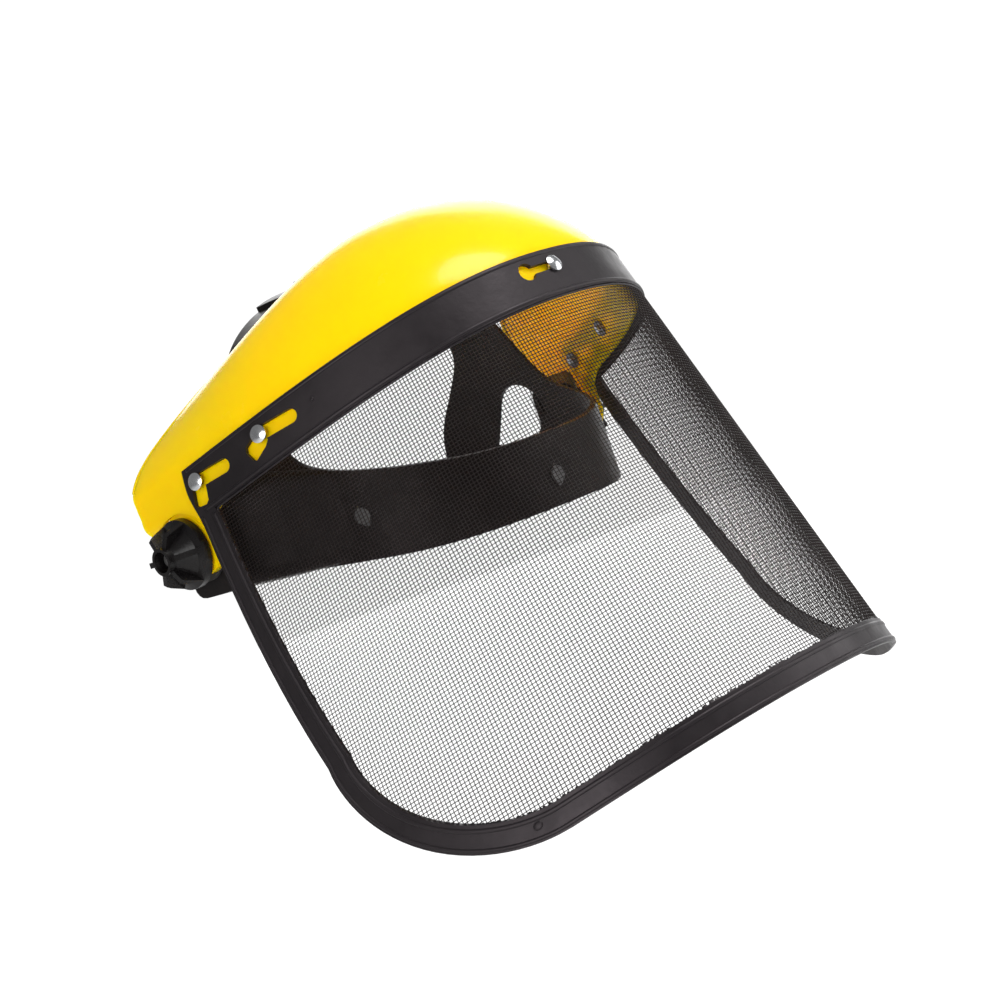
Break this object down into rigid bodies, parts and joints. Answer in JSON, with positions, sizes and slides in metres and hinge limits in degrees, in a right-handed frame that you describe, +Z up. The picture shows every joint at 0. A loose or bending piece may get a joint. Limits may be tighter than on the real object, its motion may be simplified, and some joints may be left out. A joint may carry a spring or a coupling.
{
  "type": "face shield",
  "caption": "Head harness with a domed brow guard hinged at both temples and a curved wire-mesh visor in a soft black frame.",
  "frame": {"origin": "the middle of the head opening, level with the middle of the headband's front", "axes": "+Z up as worn, -Y to the wearer's front, +X to the wearer's left"},
  "size_m": [0.2554, 0.293, 0.233],
  "materials": {
    "pvc_trim": "satin",
    "wire_mesh": "woven, coated",
    "guard_plastic": "glossy moulded",
    "stud_metal": "polished",
    "zinc_steel": "plated",
    "knob_plastic": "semi-gloss",
    "insert_brass": "turned",
    "friction_rubber": "matt",
    "harness_plastic": "satin moulded",
    "sweatband_foam": "soft, covered foam",
    "pin_plastic": "moulded"
  },
  "bodies": {
    "harness": {"headband_front": "harness_plastic", "sweatband": "sweatband_foam", "sweatband_pins": "pin_plastic", "side_block_left": "harness_plastic", "side_block_right": "harness_plastic", "crown_strap_left": "harness_plastic", "crown_strap_right": "harness_plastic", "crown_pins": "pin_plastic", "pivot_bolt_left": "zinc_steel", "pivot_bolt_right": "zinc_steel"},
    "visor": {"brow_guard": "guard_plastic", "visor_frame": "pvc_trim", "visor_mesh": "wire_mesh", "visor_studs": "stud_metal", "stud_washers": "zinc_steel", "friction_washer_left": "friction_rubber", "friction_washer_right": "friction_rubber"},
    "rear": {"rear_band": "harness_plastic", "size_pins": "pin_plastic", "nape_pad": "sweatband_foam"},
    "knob_left_turning": {"knob_left": "knob_plastic", "knob_insert_left": "insert_brass", "knob_washer_left": "zinc_steel"},
    "knob_right_turning": {"knob_right": "knob_plastic", "knob_insert_right": "insert_brass", "knob_washer_right": "zinc_steel"}
  },
  "joints": [
    {"name": "visor_raise", "type": "hinge", "parent": "harness", "child": "visor", "pos_m": [0, -0.012, 0.016], "axis": [-1, 0, 0], "range_deg": [-20, 70]},
    {"name": "knob_left_turn", "type": "hinge", "parent": "harness", "child": "knob_left_turning", "pos_m": [0.12, -0.012, 0.016], "axis": [1, 0, 0], "range_deg": [-180, 360]},
    {"name": "knob_right_turn", "type": "hinge", "parent": "harness", "child": "knob_right_turning", "pos_m": [-0.12, -0.012, 0.016], "axis": [-1, 0, 0], "range_deg": [-180, 360]},
    {"name": "size_slide", "type": "slide", "parent": "harness", "child": "rear", "axis": [0, 1, 0], "range_m": [-0.009, 0.01]}
  ]
}
